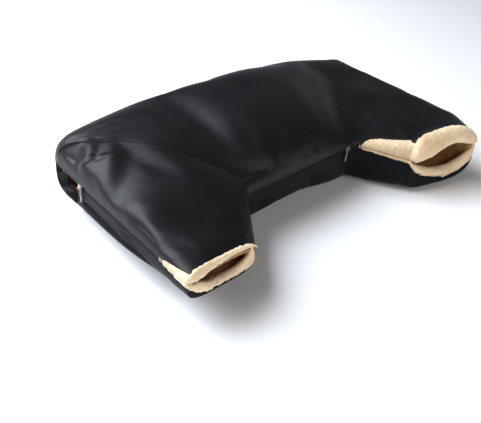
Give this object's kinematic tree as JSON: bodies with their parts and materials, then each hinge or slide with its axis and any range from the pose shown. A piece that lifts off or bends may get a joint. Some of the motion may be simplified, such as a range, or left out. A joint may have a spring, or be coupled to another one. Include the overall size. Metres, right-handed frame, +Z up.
{
  "type": "stroller hand muff",
  "caption": "Fleece-lined padded hand muff that wraps a stroller's handlebar, with a sleeve for each hand, zipped sides and front.",
  "frame": {"origin": "on the parting line of the upper and lower halves, over the middle of the handlebar that passes through the muff", "axes": "+X along the handlebar to the muff's right end, +Y towards the closed fold and the stroller, +Z up; the sleeves open towards -Y"},
  "size_m": [0.5764, 0.3233, 0.1385],
  "materials": {
    "shell_fabric": "satin coated woven",
    "wadding": "matte fibre batting",
    "fleece": "deep-pile matte fleece",
    "zip_tape": "matte woven tape",
    "zip_coil": "satin nylon coil",
    "zip_metal": "nickel-plated satin",
    "zip_puller": "grey satin"
  },
  "bodies": {
    "lower_half": {"lower_shell": "shell_fabric", "lower_wadding": "wadding", "lower_lining": "fleece", "left_cuff_lower": "fleece", "right_cuff_lower": "fleece", "left_side_facing_lower": "fleece", "right_side_facing_lower": "fleece", "inner_slit_facing_lower": "fleece", "left_bar_binding_lower": "shell_fabric", "right_bar_binding_lower": "shell_fabric", "left_zip_tape_lower": "zip_tape", "left_zip_coil_lower": "zip_coil", "left_zip_stop_lower": "zip_metal", "left_zip_box": "zip_metal", "right_zip_tape_lower": "zip_tape", "right_zip_coil_lower": "zip_coil", "right_zip_stop_lower": "zip_metal", "right_zip_box": "zip_metal", "front_zip_tape_lower": "zip_tape", "front_zip_coil_lower": "zip_coil", "front_zip_stop_lower": "zip_metal", "front_zip_box": "zip_metal"},
    "upper_half": {"upper_shell": "shell_fabric", "upper_wadding": "wadding", "upper_lining": "fleece", "left_cuff_upper": "fleece", "right_cuff_upper": "fleece", "left_side_facing_upper": "fleece", "right_side_facing_upper": "fleece", "inner_slit_facing_upper": "fleece", "left_bar_binding_upper": "shell_fabric", "right_bar_binding_upper": "shell_fabric", "left_zip_tape_upper": "zip_tape", "left_zip_coil_upper": "zip_coil", "left_zip_stop_upper": "zip_metal", "left_zip_pin": "zip_metal", "right_zip_tape_upper": "zip_tape", "right_zip_coil_upper": "zip_coil", "right_zip_stop_upper": "zip_metal", "right_zip_pin": "zip_metal", "front_zip_tape_upper": "zip_tape", "front_zip_coil_upper": "zip_coil", "front_zip_stop_upper": "zip_metal", "front_zip_pin": "zip_metal"},
    "left_slider": {"left_zip_slider": "zip_metal"},
    "left_puller": {"left_zip_puller": "zip_puller"},
    "right_slider": {"right_zip_slider": "zip_metal"},
    "right_puller": {"right_zip_puller": "zip_puller"},
    "front_slider": {"front_zip_slider": "zip_metal"},
    "front_puller": {"front_zip_puller": "zip_puller"}
  },
  "joints": [
    {"name": "upper_half_open", "type": "hinge", "parent": "lower_half", "child": "upper_half", "pos_m": [0, 0.046, 0], "axis": [-1, 0, 0], "range_deg": [0, 170]},
    {"name": "left_zip_slide", "type": "slide", "parent": "lower_half", "child": "left_slider", "axis": [0, -1, 0], "range_m": [0, 0.157]},
    {"name": "left_puller_swing", "type": "hinge", "parent": "left_slider", "child": "left_puller", "pos_m": [-0.284, -0.0439, 0], "axis": [-1, 0, 0], "range_deg": [-40, 90]},
    {"name": "right_zip_slide", "type": "slide", "parent": "lower_half", "child": "right_slider", "axis": [0, -1, 0], "range_m": [0, 0.157]},
    {"name": "right_puller_swing", "type": "hinge", "parent": "right_slider", "child": "right_puller", "pos_m": [0.284, -0.0439, 0], "axis": [-1, 0, 0], "range_deg": [-40, 90]},
    {"name": "front_zip_slide", "type": "slide", "parent": "lower_half", "child": "front_slider", "axis": [-1, 0, 0], "range_m": [0, 0.176]},
    {"name": "front_puller_swing", "type": "hinge", "parent": "front_slider", "child": "front_puller", "pos_m": [0.08123, -0.17, -0.006], "axis": [0, 1, 0], "range_deg": [-40, 90]}
  ]
}
